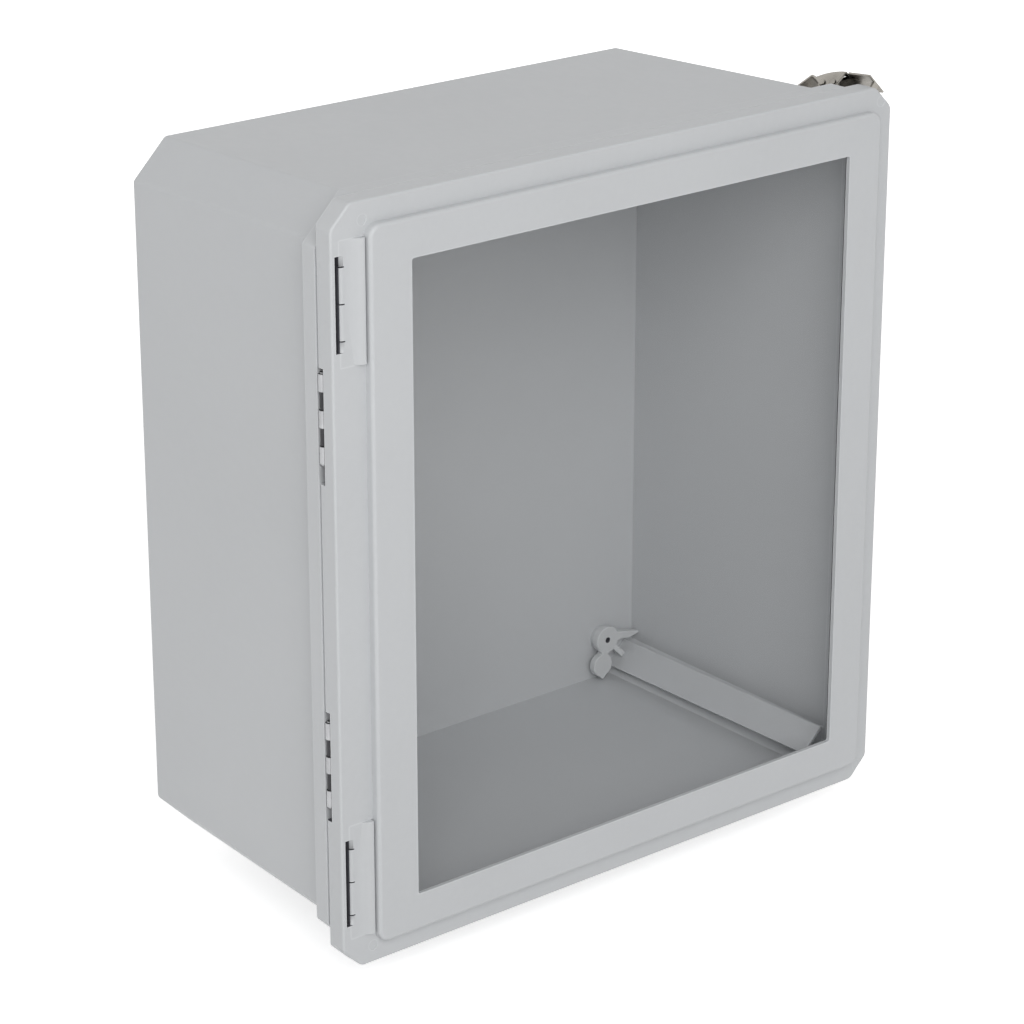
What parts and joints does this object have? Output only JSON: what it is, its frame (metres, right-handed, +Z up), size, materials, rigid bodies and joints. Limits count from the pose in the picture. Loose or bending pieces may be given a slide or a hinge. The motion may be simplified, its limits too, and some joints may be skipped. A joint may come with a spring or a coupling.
{
  "type": "outdoor electrical enclosure",
  "caption": "Wall-mounted moulded electrical enclosure with a hinged window cover, corner draw latches and sliding panel clips.",
  "frame": {"origin": "middle of the back face, which goes against the wall", "axes": "+X to the right, -Y out of the cover, +Z up; +Y points into the wall"},
  "size_m": [0.4516, 0.2277, 0.49],
  "materials": {
    "shell": "satin moulded fibreglass",
    "cover": "satin moulded fibreglass",
    "inner": "satin moulded plastic",
    "clear": "clear polycarbonate",
    "gasket": "closed-cell foam",
    "steel": "stainless",
    "dark_steel": "dark stainless",
    "brass": "plain"
  },
  "bodies": {
    "box": {"body_shell": "shell", "rail_upper_left": "inner", "rail_upper_right": "inner", "rail_lower_left": "inner", "rail_lower_right": "inner", "wall_inserts": "brass", "upper_hinge_body_leaf": "steel", "lower_hinge_body_leaf": "steel", "upper_hinge_pin": "steel", "lower_hinge_pin": "steel", "hinge_body_screws": "steel", "upper_latch_base": "steel", "lower_latch_base": "steel", "upper_latch_pivot": "steel", "lower_latch_pivot": "steel", "latch_screws": "steel"},
    "cover": {"cover_frame": "cover", "cover_gasket": "gasket", "window_gasket": "gasket", "window_pane": "clear", "window_retainer": "inner", "window_screws": "steel", "upper_hinge_cover_leaf": "dark_steel", "lower_hinge_cover_leaf": "dark_steel", "hinge_cover_screws": "steel", "upper_hinge_cap": "cover", "lower_hinge_cap": "cover"},
    "upper_lever": {"upper_latch_lever": "steel", "upper_claw_pin": "steel"},
    "upper_claw": {"upper_latch_claw": "steel"},
    "lower_lever": {"lower_latch_lever": "steel", "lower_claw_pin": "steel"},
    "lower_claw": {"lower_latch_claw": "steel"},
    "upper_left_clip": {"clip_upper_left": "inner"},
    "upper_right_clip": {"clip_upper_right": "inner"},
    "lower_left_clip": {"clip_lower_left": "inner"},
    "lower_right_clip": {"clip_lower_right": "inner"}
  },
  "joints": [
    {"name": "cover_hinge", "type": "hinge", "parent": "box", "child": "cover", "pos_m": [-0.2209, -0.2093, 0], "axis": [0, 0, -1], "range_deg": [0, 100]},
    {"name": "upper_lever_hinge", "type": "hinge", "parent": "box", "child": "upper_lever", "pos_m": [0.21337, -0.18491, 0.23037], "axis": [0.7071, 0, -0.7071], "range_deg": [0, 95]},
    {"name": "upper_claw_hinge", "type": "hinge", "parent": "upper_lever", "child": "upper_claw", "pos_m": [0.21185, -0.177, 0.22885], "axis": [0.7071, 0, -0.7071], "range_deg": [-95, 0]},
    {"name": "lower_lever_hinge", "type": "hinge", "parent": "box", "child": "lower_lever", "pos_m": [0.21337, -0.18491, -0.23037], "axis": [-0.7071, 0, -0.7071], "range_deg": [0, 95]},
    {"name": "lower_claw_hinge", "type": "hinge", "parent": "lower_lever", "child": "lower_claw", "pos_m": [0.21185, -0.177, -0.22885], "axis": [-0.7071, 0, -0.7071], "range_deg": [-95, 0]},
    {"name": "upper_left_clip_slide", "type": "slide", "parent": "box", "child": "upper_left_clip", "axis": [0, -1, 0], "range_m": [0, 0.16]},
    {"name": "upper_right_clip_slide", "type": "slide", "parent": "box", "child": "upper_right_clip", "axis": [0, -1, 0], "range_m": [0, 0.16]},
    {"name": "lower_left_clip_slide", "type": "slide", "parent": "box", "child": "lower_left_clip", "axis": [0, -1, 0], "range_m": [0, 0.16]},
    {"name": "lower_right_clip_slide", "type": "slide", "parent": "box", "child": "lower_right_clip", "axis": [0, -1, 0], "range_m": [0, 0.16]}
  ],
  "couplings": [
    {"joint": "upper_claw_hinge", "follows": "upper_lever_hinge", "ratio": -1},
    {"joint": "lower_claw_hinge", "follows": "lower_lever_hinge", "ratio": -1}
  ]
}
